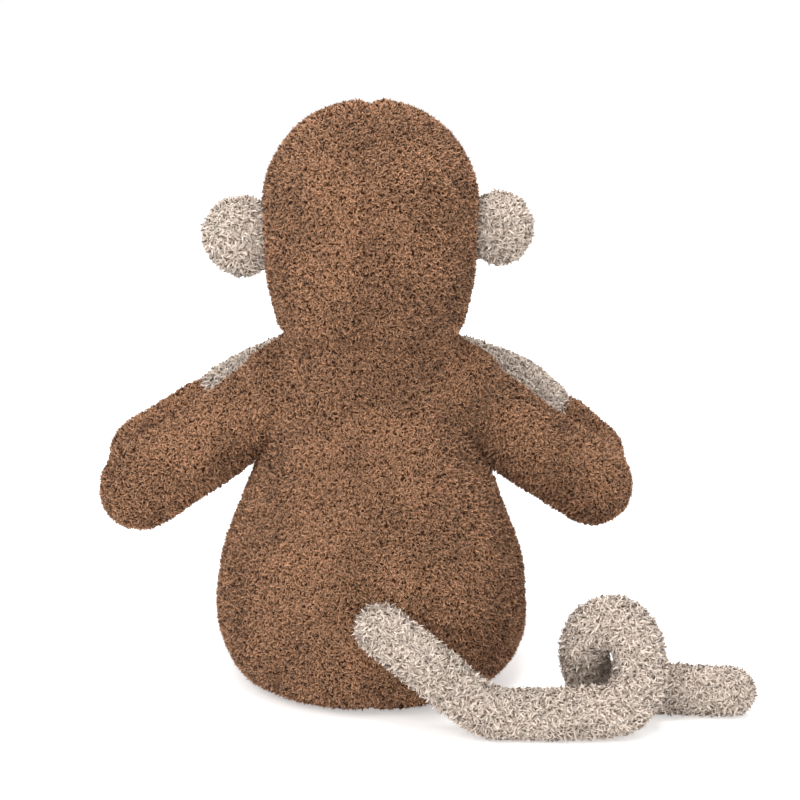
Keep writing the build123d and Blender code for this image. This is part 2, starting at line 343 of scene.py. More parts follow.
def makeTuft(name, pile, chance):
    # a narrow strand that leans over and comes to a point
    length = pile["length"] * chance.uniform(0.85, 1.15)
    bend = pile["bend"] * chance.uniform(0.6, 1.3)
    twist = chance.uniform(-0.5, 0.5)
    bm = bmesh.new()
    lift = bm.verts.layers.float.new("lift")
    foot = [bm.verts.new((0, side * pile["width"] / 2, 0)) for side in (-1, 1)]
    edges = [bm.edges.new(foot)]
    middle = Vector((0, 0, 0))
    lean = 0
    for share, size in ((0.5, 1.12), (1.0, 0)):
        grown = bmesh.ops.extrude_edge_only(bm, edges=edges)["geom"]
        verts = [part for part in grown if isinstance(part, bmesh.types.BMVert)]
        edges = [part for part in grown if isinstance(part, bmesh.types.BMEdge)]
        lean += bend / 2
        step = Vector((math.sin(lean), twist * math.sin(lean), math.cos(lean))) * length / 2
        bmesh.ops.translate(bm, verts=verts, vec=step)
        middle += step
        if size:
            turn = Matrix.Rotation(chance.uniform(-0.6, 0.6), 3, "Z")
            bmesh.ops.rotate(bm, verts=verts, cent=middle, matrix=turn)
            bmesh.ops.scale(
                bm, verts=verts, vec=(size, size, size), space=Matrix.Translation(-middle)
            )
        else:
            bmesh.ops.pointmerge(bm, verts=verts, merge_co=middle)
        for vert in verts:
            if vert.is_valid:
                vert[lift] = share
    return newPiece(name, bm)


def makeScatter():
    group = bpy.data.node_groups.new("pile scatter", "GeometryNodeTree")
    face = group.interface
    face.new_socket("Geometry", in_out="OUTPUT", socket_type="NodeSocketGeometry")
    ids = {}
    for name, kind in (
        ("Geometry", "Geometry"), ("Tufts", "Collection"), ("Density", "Float"), ("Seed", "Int"),
        ("Shortest", "Float"), ("Longest", "Float"), ("Upright", "Float"), ("Flat", "Float"),
        ("Swirl", "Float"),
    ):
        ids[name] = face.new_socket(name, in_out="INPUT", socket_type="NodeSocket" + kind).identifier
    nodes, links = group.nodes, group.links
    given = nodes.new("NodeGroupInput").outputs

    def chance(low, high):
        node = nodes.new("FunctionNodeRandomValue")
        for socket, value in ((node.inputs[2], low), (node.inputs[3], high)):
            if isinstance(value, (int, float)):
                socket.default_value = value
            else:
                links.new(value, socket)
        node.inputs["Seed"].default_value = len(nodes)
        return node.outputs[1]

    def maths(kind, first, second):
        node = nodes.new("ShaderNodeMath")
        node.operation = kind
        links.new(first, node.inputs[0])
        links.new(second, node.inputs[1])
        return node.outputs[0]

    cover = nodes.new("GeometryNodeInputNamedAttribute")
    cover.data_type = "FLOAT"
    cover.inputs["Name"].default_value = "cover"
    spread = nodes.new("GeometryNodeDistributePointsOnFaces")
    links.new(given["Geometry"], spread.inputs["Mesh"])
    links.new(maths("MULTIPLY", given["Density"], cover.outputs["Attribute"]), spread.inputs["Density"])
    links.new(given["Seed"], spread.inputs["Seed"])
    tufts = nodes.new("GeometryNodeCollectionInfo")
    tufts.inputs["Separate Children"].default_value = True
    tufts.inputs["Reset Children"].default_value = True
    links.new(given["Tufts"], tufts.inputs["Collection"])
    plant = nodes.new("GeometryNodeInstanceOnPoints")
    plant.inputs["Pick Instance"].default_value = True
    links.new(spread.outputs["Points"], plant.inputs["Points"])
    links.new(tufts.outputs[0], plant.inputs["Instance"])
    links.new(spread.outputs["Rotation"], plant.inputs["Rotation"])
    links.new(chance(given["Shortest"], given["Longest"]), plant.inputs["Scale"])

    # every strand leans its own way
    place = nodes.new("GeometryNodeInputPosition")
    swirls = nodes.new("ShaderNodeTexNoise")
    swirls.inputs["Scale"].default_value = 55
    swirls.inputs["Detail"].default_value = 1
    links.new(place.outputs[0], swirls.inputs["Vector"])
    heading = maths("ADD", maths("MULTIPLY", swirls.outputs[0], given["Swirl"]), chance(-3.1, 3.1))
    grown = plant.outputs[0]
    for axis, angle in (("Z", heading), ("Y", chance(given["Upright"], given["Flat"]))):
        turn = nodes.new("ShaderNodeCombineXYZ")
        links.new(angle, turn.inputs[axis])
        rotate = nodes.new("GeometryNodeRotateInstances")
        rotate.inputs["Local Space"].default_value = True
        links.new(grown, rotate.inputs["Instances"])
        links.new(turn.outputs[0], rotate.inputs["Rotation"])
        grown = rotate.outputs[0]
    tone = nodes.new("GeometryNodeStoreNamedAttribute")
    tone.data_type = "FLOAT"
    tone.domain = "INSTANCE"
    tone.inputs["Name"].default_value = "tone"
    links.new(grown, tone.inputs["Geometry"])
    links.new(chance(0.0, 1.0), tone.inputs["Value"])
    real = nodes.new("GeometryNodeRealizeInstances")
    links.new(tone.outputs[0], real.inputs[0])
    both = nodes.new("GeometryNodeJoinGeometry")
    links.new(real.outputs[0], both.inputs[0])
    links.new(given["Geometry"], both.inputs[0])
    links.new(both.outputs[0], nodes.new("NodeGroupOutput").inputs[0])
    return group, ids


scatter, scatterIds = makeScatter()
tuftSets = {}
for kind, pile in piles.items():
    chance = random.Random(kind)
    tuftSets[kind] = bpy.data.collections.new("tufts " + kind)
    for number in range(6):
        tuft = makeTuft(f"tuft {kind} {number}", pile, chance)
        scene.collection.objects.unlink(tuft)
        tuftSets[kind].objects.link(tuft)
print("tufts ready")


def growPile(piece, kind, material, blockers=(), depth=0.003, share=1.0, seed=1):
    # pile on the outside of the cloth, except where another piece covers it
    pile = piles[kind]

    def keepUncovered(bm):
        cover = bm.verts.layers.float.get("cover")
        if cover is None:
            cover = bm.verts.layers.float.new("cover")
            for vert in bm.verts:
                vert[cover] = 1
        for vert in bm.verts:
            if vert[cover] and any(depthInside(tree, vert.co) > depth for tree in blockers):
                vert[cover] = 0

    editMesh(piece, keepUncovered)
    grow = piece.modifiers.new("pile", "NODES")
    grow.node_group = scatter
    for name, value in (
        ("Tufts", tuftSets[kind]), ("Density", pile["density"] * share), ("Seed", seed),
        ("Shortest", pile["shortest"]), ("Longest", pile["longest"]),
        ("Upright", pile["upright"]), ("Flat", pile["flat"]), ("Swirl", pile["swirl"]),
    ):
        grow[scatterIds[name]] = value
    applyModifiers(piece)
    mesh = piece.data
    mesh.attributes.remove(mesh.attributes["cover"])
    mesh.materials.clear()
    mesh.materials.append(material)
    mesh.polygons.foreach_set("material_index", [0] * len(mesh.polygons))
    mesh.polygons.foreach_set("use_smooth", [True] * len(mesh.polygons))
    for vert in mesh.vertices:
        vert.co.z = max(vert.co.z, 0.0004)  # pressed flat by the floor
    return piece


# materials

def groupWith(name, inputs, outputs):
    group = bpy.data.node_groups.new(name, "ShaderNodeTree")
    for label, kind in inputs:
        group.interface.new_socket(label, in_out="INPUT", socket_type="NodeSocket" + kind)
    for label, kind in outputs:
        group.interface.new_socket(label, in_out="OUTPUT", socket_type="NodeSocket" + kind)
    return group, group.nodes.new("NodeGroupInput").outputs, group.nodes.new("NodeGroupOutput").inputs


def colourMix(tree, factor, first, second, kind="MIX"):
    mix = tree.nodes.new("ShaderNodeMix")
    mix.data_type = "RGBA"
    mix.blend_type = kind
    for socket, value in ((mix.inputs[0], factor), (mix.inputs[6], first), (mix.inputs[7], second)):
        if isinstance(value, bpy.types.NodeSocket):
            tree.links.new(value, socket)
        else:
            socket.default_value = value
    return mix.outputs[2]


def spanOf(tree, value, fromLow, fromHigh, toLow, toHigh):
    span = tree.nodes.new("ShaderNodeMapRange")
    span.interpolation_type = "SMOOTHSTEP"
    tree.links.new(value, span.inputs["Value"])
    for label, amount in (
        ("From Min", fromLow), ("From Max", fromHigh), ("To Min", toLow), ("To Max", toHigh),
    ):
        span.inputs[label].default_value = amount
    return span.outputs["Result"]


def noiseAt(tree, scale, detail=2.0):
    place = tree.nodes.new("ShaderNodeTexCoord")
    grain = tree.nodes.new("ShaderNodeTexNoise")
    grain.inputs["Scale"].default_value = scale
    grain.inputs["Detail"].default_value = detail
    tree.links.new(place.outputs["Object"], grain.inputs["Vector"])
    return grain.outputs["Fac"]


def makePileShade():
    # colour of a strand from root to tip, strand by strand and patch by patch, with painted shade: the
    # dark root colour at the foot of each strand and on the bare cloth
    group, given, made = groupWith(
        "pile shade",
        (("Root", "Color"), ("Body", "Color"), ("Tip", "Color"), ("Patch", "Float")),
        (("Color", "Color"), ("Roughness", "Float"), ("Fibre", "Float")),
    )
    lift = group.nodes.new("ShaderNodeAttribute")
    lift.attribute_name = "lift"
    tone = group.nodes.new("ShaderNodeAttribute")
    tone.attribute_name = "tone"
    rise = lift.outputs["Fac"]
    # painted shade: the cloth under the pile carries no lift, so it reads as root and takes the dark
    # root colour like the foot of each strand
    lower = colourMix(group, spanOf(group, rise, 0.0, 0.55, 0, 1), given["Root"], given["Body"])
    colour = colourMix(group, spanOf(group, rise, 0.45, 1.0, 0, 1), lower, given["Tip"])
    strand = spanOf(group, tone.outputs["Fac"], 0.0, 1.0, 0.70, 1.26)
    patches = spanOf(group, noiseAt(group, 38, 3), 0.3, 0.7, -0.5, 0.5)
    lean = group.nodes.new("ShaderNodeMath")
    lean.operation = "MULTIPLY_ADD"
    group.links.new(patches, lean.inputs[0])
    group.links.new(given["Patch"], lean.inputs[1])
    group.links.new(strand, lean.inputs[2])
    shade = group.nodes.new("ShaderNodeHueSaturation")
    group.links.new(colour, shade.inputs["Color"])
    group.links.new(lean.outputs[0], shade.inputs["Value"])
    group.links.new(shade.outputs["Color"], made["Color"])
    group.links.new(spanOf(group, tone.outputs["Fac"], 0.0, 1.0, 0.75, 0.95), made["Roughness"])
    group.links.new(noiseAt(group, 2600, 1), made["Fibre"])
    return group


def surface(name, roughness=0.6, specular=0.5, sheen=0.0, coat=0.0):
    material = bpy.data.materials.new(name)
    material.use_nodes = True
    shader = material.node_tree.nodes["Principled BSDF"]
    shader.inputs["Roughness"].default_value = roughness
    shader.inputs["Specular IOR Level"].default_value = specular
    shader.inputs["Sheen Weight"].default_value = sheen
    shader.inputs["Sheen Roughness"].default_value = 0.5
    shader.inputs["Coat Weight"].default_value = coat
    shader.inputs["Coat Roughness"].default_value = 0.05
    return material, material.node_tree, shader


def bumpFrom(tree, shader, height, distance, strength=1.0):
    bump = tree.nodes.new("ShaderNodeBump")
    bump.inputs["Distance"].default_value = distance
    bump.inputs["Strength"].default_value = strength
    tree.links.new(height, bump.inputs["Height"])
    tree.links.new(bump.outputs["Normal"], shader.inputs["Normal"])


pileShade = makePileShade()


def plushMaterial(name, colours, patch, sheen):
    material, tree, shader = surface(name, 0.85, 0.15, sheen)
    shade = tree.nodes.new("ShaderNodeGroup")
    shade.node_tree = pileShade
    for label in ("Root", "Body", "Tip"):
        shade.inputs[label].default_value = (*colours[label.lower()], 1)
    shade.inputs["Patch"].default_value = patch
    tree.links.new(shade.outputs["Color"], shader.inputs["Base Color"])
    tree.links.new(shade.outputs["Roughness"], shader.inputs["Roughness"])
    bumpFrom(tree, shader, shade.outputs["Fibre"], 0.0002)
    return material


def grainMaterial(name, dark, light, scale, roughness, specular, bump, sheen=0.0, coat=0.0):
    # plain stuff with a fine grain in its colour and its surface
    material, tree, shader = surface(name, roughness, specular, sheen, coat)
    grain = noiseAt(tree, scale, 4)
    tree.links.new(
        colourMix(tree, spanOf(tree, grain, 0.35, 0.65, 0, 1), (*dark, 1), (*light, 1)),
        shader.inputs["Base Color"],
    )
    bumpFrom(tree, shader, grain, bump)
    return material


def beadMaterial(name, dark, light, size, roughness):
    # many small rounded grains, each darker towards its edge: painted shade in the gaps between the
    # grains
    material, tree, shader = surface(name, roughness, 0.5)
    place = tree.nodes.new("ShaderNodeTexCoord")
    cells = tree.nodes.new("ShaderNodeTexVoronoi")
    cells.inputs["Scale"].default_value = 1 / size
    tree.links.new(place.outputs["Object"], cells.inputs["Vector"])
    grainGapShade = spanOf(tree, cells.outputs["Distance"], 0.1, 0.7, 0, 1)
    tree.links.new(colourMix(tree, grainGapShade, (*light, 1), (*dark, 1)), shader.inputs["Base Color"])
    flip = tree.nodes.new("ShaderNodeMath")
    flip.operation = "SUBTRACT"
    flip.inputs[0].default_value = 1
    tree.links.new(cells.outputs["Distance"], flip.inputs[1])
    bumpFrom(tree, shader, flip.outputs[0], size / 3)
    return material


def wovenMaterial(name, dark, light, pitch, roughness):
    # two crossing sets of yarn
    material, tree, shader = surface(name, roughness, 0.3, 0.2)
    place = tree.nodes.new("ShaderNodeTexCoord")
    yarns = []
    for direction in ("X", "Z"):
        wave = tree.nodes.new("ShaderNodeTexWave")
        wave.bands_direction = direction
        wave.inputs["Scale"].default_value = 0.314 / pitch
        wave.inputs["Distortion"].default_value = 0.4
        tree.links.new(place.outputs["Object"], wave.inputs["Vector"])
        yarns.append(wave.outputs["Fac"])
    weave = tree.nodes.new("ShaderNodeMath")
    weave.operation = "MULTIPLY"
    for yarn, socket in zip(yarns, weave.inputs):
        tree.links.new(yarn, socket)
    tree.links.new(
        colourMix(tree, weave.outputs[0], (*dark, 1), (*light, 1)), shader.inputs["Base Color"]
    )
    bumpFrom(tree, shader, weave.outputs[0], pitch / 3)
    return material


brownPlush = plushMaterial("brown plush", browns, 0.30, 0.06)
creamPlush = plushMaterial("cream plush", creams, 0.16, 0.05)
pouchCloth = wovenMaterial("pouch cloth", (0.52, 0.49, 0.43), (0.80, 0.77, 0.70), 0.0008, 0.85)
pelletGrains = beadMaterial("pellets", (0.30, 0.29, 0.26), (0.82, 0.80, 0.74), 0.0032, 0.45)
eyePlastic = grainMaterial(
    "eye plastic", (0.004, 0.003, 0.003), (0.010, 0.007, 0.006),
    scale=300, roughness=0.12, specular=0.6, bump=0.00002, coat=1.0,
)
washerPlastic = grainMaterial(
    "washer plastic", (0.70, 0.70, 0.68), (0.84, 0.84, 0.82),
    scale=500, roughness=0.4, specular=0.5, bump=0.00005,
)
darkThread = grainMaterial(
    "dark thread", (0.014, 0.008, 0.005), (0.050, 0.028, 0.018),
    scale=2200, roughness=0.7, specular=0.3, bump=0.0002, sheen=0.4,
)
print("materials ready")

for node, material in (
    ("pellet_pouch", pouchCloth), ("pouch_pellets", pelletGrains),
    ("eye_left", eyePlastic), ("eye_right", eyePlastic),
    ("eye_washer_left", washerPlastic), ("eye_washer_right", washerPlastic),
):
    mesh = frame["nodes"][node].data
    mesh.materials.clear()
    mesh.materials.append(material)


def handOver(piece, replaced, body=None):
    # hands a finished padded piece to its body
    if body:
        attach(piece, body)
    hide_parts(*replaced)


# torso

torso = {
    "voxel": 0.0046,
    "shrink": 0.0012,         # cloth starts inside its size, and the stuffing brings it out
    "swell": 0.0024,
    "shoulderBall": 0.0212,
    "webBall": 0.0195,
    "webOut": 0.031,
    "webUp": 0.0085,
    "seamDepth": 0.0014,
    "seamWidth": 0.0035,
    "cloth": 0.0015,
}
torsoNodes = ("seat_panel", "belly_panel", "back_panel_left", "back_panel_right")
torsoLow, torsoHigh = boxOf(*torsoNodes)
neck = jointPoint("head_nod")
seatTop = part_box("seat_panel")[1].z
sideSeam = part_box("back_panel_left")[0].y

heights = [0.0008 + (torsoHigh.z - 0.0018) * (step / 40) for step in range(41)]
outline = outlineOf(torsoNodes, (0.55, 0.83), heights)
outline = [(radius - torso["shrink"], height) for radius, height in outline]
outline = [(0, torsoLow.z + 0.0006), (outline[0][0] * 0.96, torsoLow.z + 0.0006)] + outline[1:]
outline.append((0, torsoHigh.z - 0.0006))
torsoSkin = turnedBlank("torso skin", outline)


def addShoulders(bm):
    for side, sign in sideSigns.items():
        shoulder = jointPoint("shoulder_lift_" + side)
        web = Vector((sign * torso["webOut"], shoulder.y, shoulder.z + torso["webUp"]))
        for spot, radius in ((shoulder, torso["shoulderBall"]), (web, torso["webBall"])):
            bmesh.ops.create_icosphere(
                bm, subdivisions=3, radius=radius, matrix=Matrix.Translation(spot)
            )


editMesh(torsoSkin, addShoulders)
evenSkin(torsoSkin, torso["voxel"], 6)
stuff(
    torsoSkin, torso["swell"],
    lambda co: abs(co.y - sideSeam) < 0.003 or (co.y > 0 and abs(co.x) < 0.003) or co.z < seatTop,
)
fillOut(torsoSkin, torsoNodes, "xy")
pinch(torsoSkin, lambda co: co.x if co.y > sideSeam else 1, torso["seamDepth"], torso["seamWidth"])
pinch(torsoSkin, lambda co: co.y - sideSeam, torso["seamDepth"], torso["seamWidth"])
torsoTree = surfaceOf(torsoSkin)
print("torso stuffed")

# head

head = {
    "voxel": 0.0042,
    "shrink": 0.0010,
    "swell": 0.0022,
    "seamDepth": 0.0028,
    "seamWidth": 0.0034,
    "cloth": 0.0015,
    "faceSnap": 0.035,
    "middleUp": 0.072,
    "crownDrop": 0.0030,
    "cheek": 0.0020,          # the head is a little fuller below its middle
    "cheekUp": 0.030,
    "cheekReach": 0.028,
    "chinTuck": ((0.0425, 0.0082), (0.0410, 0.0062), (0.0380, 0.0048)),   # out, and above the neck
}
headNodes = ("head_panel_left", "head_panel_right", "face_panel")
headLow, headHigh = boxOf(*headNodes)
tall = headHigh.z - headLow.z - 0.0015
heights = [headLow.z + 0.0005 + tall * math.sin(math.pi / 2 * step / 30) for step in range(31)]
outline = outlineOf(headNodes, (0, 1), heights)
outline = [(radius - head["shrink"], height) for radius, height in outline]
tuck = [(radius, neck.z + height) for radius, height in reversed(head["chinTuck"])]
outline = [(0, tuck[0][1])] + tuck + outline + [(0, headHigh.z - head["shrink"])]
headSkin = turnedBlank("head skin", outline)
evenSkin(headSkin, head["voxel"], 5)
stuff(headSkin, head["swell"], lambda co: abs(co.x) < 0.0025 or co.z < headLow.z)
fillOut(headSkin, headNodes, "xy")
headMiddle = Vector((0, 0, neck.z + head["middleUp"]))


def shapeHead(bm):
    crown = max(vert.co.z for vert in bm.verts)
    flatten = (headHigh.z - head["crownDrop"] - headMiddle.z) / (crown - headMiddle.z)
    for vert in bm.verts:
        if vert.co.z > headMiddle.z:
            vert.co.z = headMiddle.z + (vert.co.z - headMiddle.z) * flatten
        above = (vert.co.z - neck.z - head["cheekUp"]) / head["cheekReach"]
        swell = head["cheek"] * math.exp(-(above ** 2))
        vert.co += Vector((vert.co.x, vert.co.y, 0)).normalized() * swell


editMesh(headSkin, shapeHead)
pinch(headSkin, lambda co: co.x if co.y > -0.02 else 1, head["seamDepth"], head["seamWidth"])
faceLow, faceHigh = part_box("face_panel")
faceMiddle = (faceLow + faceHigh) / 2
faceHalf = (faceHigh - faceLow) / 2


def faceShare(co):
    if co.y > 0:
        return 9
    return math.hypot((co.x - faceMiddle.x) / faceHalf.x, (co.z - faceMiddle.z) / faceHalf.z)


def snapToFace(bm):
    # brings the nearest points onto the face's edge, so that the seam runs smoothly
    for vert in bm.verts:
        share = faceShare(vert.co)
        if abs(share - 1) < head["faceSnap"]:
            vert.co.x = faceMiddle.x + (vert.co.x - faceMiddle.x) / share
            vert.co.z = faceMiddle.z + (vert.co.z - faceMiddle.z) / share


editMesh(headSkin, snapToFace)
headTree = surfaceOf(headSkin)


def faceOnly(bm, keepFace):
    gone = [f for f in bm.faces if (faceShare(f.calc_center_median()) < 1) != keepFace]
    bmesh.ops.delete(bm, geom=gone, context="FACES")


hood = copyOf(headSkin, "hood")
editMesh(hood, lambda bm: faceOnly(bm, False))
for side, sign in sideSigns.items():
    half = panel(hood, f"head_plush_{side}", [((0, 0, 0), (sign, 0, 0))], head["cloth"])
    growPile(half, "brown", brownPlush, [torsoTree], 0.004, seed=10 + sign)
    handOver(half, [f"head_panel_{side}", "head_filling"], "head")
dropPiece(hood)
facePlush = copyOf(headSkin, "face_plush")
editMesh(facePlush, lambda bm: faceOnly(bm, True))
backed(facePlush, head["cloth"])

muzzle = {"voxel": 0.0030, "swell": 0.0010, "shrink": 0.0008}
muzzleLow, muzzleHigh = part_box("muzzle_skin")
muzzleHalf = (muzzleHigh - muzzleLow) / 2
muzzleHalf.y = muzzleHalf.x
muzzleMiddle = Vector((0, muzzleLow.y + muzzleHalf.y, (muzzleLow.z + muzzleHigh.z) / 2))
bm = bmesh.new()
bmesh.ops.create_icosphere(bm, subdivisions=4, radius=1)
bmesh.ops.scale(bm, verts=bm.verts, vec=muzzleHalf - Vector((1, 1, 1)) * muzzle["shrink"])
bmesh.ops.translate(bm, verts=bm.verts, vec=muzzleMiddle)
muzzleSkin = newPiece("muzzle_plush", bm)
evenSkin(muzzleSkin, muzzle["voxel"], 1)
stuff(muzzleSkin, muzzle["swell"])
muzzleTree = surfaceOf(muzzleSkin)
growPile(facePlush, "face", creamPlush, [muzzleTree], 0.003, seed=14)
handOver(facePlush, ["face_panel", "head_filling"], "head")
growPile(muzzleSkin, "face", creamPlush, [headTree], 0.003, seed=15)
handOver(muzzleSkin, ["muzzle_skin", "muzzle_filling"], "head")
print("head stuffed")

# nose and mouth are satin stitches that stand proud of the short pile
stitches = {
    "noseRows": 15, "thread": 0.00062, "noseProud": 0.0013,
    "mouthCount": 15, "mouthProud": 0.0012, "mouthThread": 0.0008,
}


def addStitch(bm, start, end, radius):
    run = end - start
    made = bmesh.ops.create_icosphere(bm, subdivisions=2, radius=1)["verts"]
    bmesh.ops.scale(bm, verts=made, vec=(radius, radius, run.length / 2 + radius))
    turn = up.rotation_difference(run.normalized()).to_matrix()
    bmesh.ops.rotate(bm, verts=made, cent=(0, 0, 0), matrix=turn)
    bmesh.ops.translate(bm, verts=made, vec=(start + end) / 2)


def muzzleSpot(x, z, proud):
    spot, normal, _, _ = muzzleTree.ray_cast(Vector((x, -0.2, z)), Vector((0, 1, 0)))
    return spot + normal * proud


noseLow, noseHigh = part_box("nose")
noseMiddle = (noseLow + noseHigh) / 2
noseHalf = (noseHigh - noseLow) / 2
bm = bmesh.new()
for row in range(stitches["noseRows"]):
    across = -1 + 2 * (row + 0.5) / stitches["noseRows"]
    top = noseMiddle.z + noseHalf.z * math.sqrt(1 - 0.75 * across ** 2)
    low = noseMiddle.z - noseHalf.z * (1 - abs(across) ** 1.4)
    x = noseMiddle.x + noseHalf.x * across
    swell = stitches["noseProud"] + 0.0016 * (1 - across ** 2)
    spots = [
        muzzleSpot(x, low + (top - low) * k / 3, swell * (0.75 if k in (0, 3) else 1))
        for k in range(4)
    ]
    for first, second in zip(spots, spots[1:]):
        addStitch(bm, first, second, stitches["thread"])
nose = newPiece("nose_stitches", bm)
bm = bmesh.new()
mouthLow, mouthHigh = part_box("mouth_stitch")
mouthHalf = (mouthHigh.x - mouthLow.x) / 2
mouthDeep = mouthHigh.z - mouthLow.z


def mouthSpot(share):
    drop = mouthDeep * (1 - (2 * share - 1) ** 2)
    return muzzleSpot(mouthLow.x + 2 * mouthHalf * share, mouthHigh.z - drop, stitches["mouthProud"])


for number in range(stitches["mouthCount"]):
    start = mouthSpot(number / stitches["mouthCount"])
    end = mouthSpot((number + 0.85) / stitches["mouthCount"])
    addStitch(bm, start, end, stitches["mouthThread"])
mouth = newPiece("mouth_stitches", bm)
for piece, node in ((nose, "nose"), (mouth, "mouth_stitch")):
    piece.data.materials.append(darkThread)
    piece.data.polygons.foreach_set("use_smooth", [True] * len(piece.data.polygons))
    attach(piece, "head")
    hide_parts(node)

# torso panels, now that the head is there to cover the neck

hiddenNeck = [headTree]
torsoPanels = {
    "back_plush_left": ([((0, 0, 0), (1, 0, 0)), ((0, sideSeam, 0), (0, 1, 0))], "back_panel_left"),
    "back_plush_right": ([((0, 0, 0), (-1, 0, 0)), ((0, sideSeam, 0), (0, 1, 0))], "back_panel_right"),
    "belly_plush": ([((0, sideSeam, 0), (0, -1, 0))], "belly_panel"),
}
for number, (name, (cuts, node)) in enumerate(torsoPanels.items()):
    piece = panel(torsoSkin, name, cuts + [((0, 0, seatTop), (0, 0, 1))], torso["cloth"])
    growPile(piece, "brown", brownPlush, hiddenNeck, 0.004, seed=20 + number)
    handOver(piece, [node, "torso_filling"], "torso")
piece = panel(torsoSkin, "seat_plush", [((0, 0, seatTop), (0, 0, -1))], torso["cloth"])
growPile(piece, "brown", brownPlush, share=0.5, seed=24)
handOver(piece, ["seat_panel", "torso_filling"], "torso")
print("torso covered")

# ears

ear = {
    "voxel": 0.0030,
    "swell": 0.0012,
    "round": 0.93,            # width, as a share of the height
    "wider": {"left": 0.0022, "right": 0.0012},
    "higher": {"left": -0.0020, "right": 0.0015},
    "dish": 0.0045,
    "dishReach": 0.87,        # share of the ear's half width that the cup takes
    "rimDepth": 0.0012,
    "rimWidth": 0.003,
}
for side, sign in sideSigns.items():
    low, high = boxOf(f"ear_front_{side}", f"ear_back_{side}")
    outerX = high.x if sign > 0 else low.x
    half = (high - low) / 2
    half = Vector((half.z * ear["round"], half.y, half.z))
    middle = (low + high) / 2
    middle.x = outerX - sign * half.x
    middle.z += ear["higher"][side]
    bm = bmesh.new()
    bmesh.ops.create_icosphere(bm, subdivisions=4, radius=1)
    for vert in bm.verts:
        flat = math.hypot(vert.co.x, vert.co.z)
        vert.co.y = math.copysign((1 - flat ** 3.2) ** 0.75, vert.co.y) if flat < 1 else 0
    bmesh.ops.scale(bm, verts=bm.verts, vec=half)
    bmesh.ops.translate(bm, verts=bm.verts, vec=middle)
    skin = newPiece(f"ear_plush_{side}", bm)
    evenSkin(skin, ear["voxel"], 2)
    stuff(skin, ear["swell"], lambda co: abs(co.y - middle.y) < 0.001)
    fillOut(skin, [f"ear_front_{side}", f"ear_back_{side}"], "z", ear["wider"][side])
    pinch(skin, lambda co: co.y - middle.y, ear["rimDepth"], ear["rimWidth"])

    def dish(bm):
        # the front of the ear is cupped
        for vert in bm.verts:
            reach = math.hypot((vert.co.x - middle.x) / half.x, (vert.co.z - middle.z) / half.z)
            if vert.co.y < middle.y and reach < ear["dishReach"]:
                vert.co.y += ear["dish"] * (1 + math.cos(math.pi * reach / ear["dishReach"])) / 2

    editMesh(skin, dish)
    growPile(skin, "cream", creamPlush, [headTree], 0.003, seed=30 + sign)
    handOver(
        skin, [f"ear_{part}_{side}" for part in ("front", "back", "padding")],
        "ear_" + side,
    )
print("ears done")

# arms

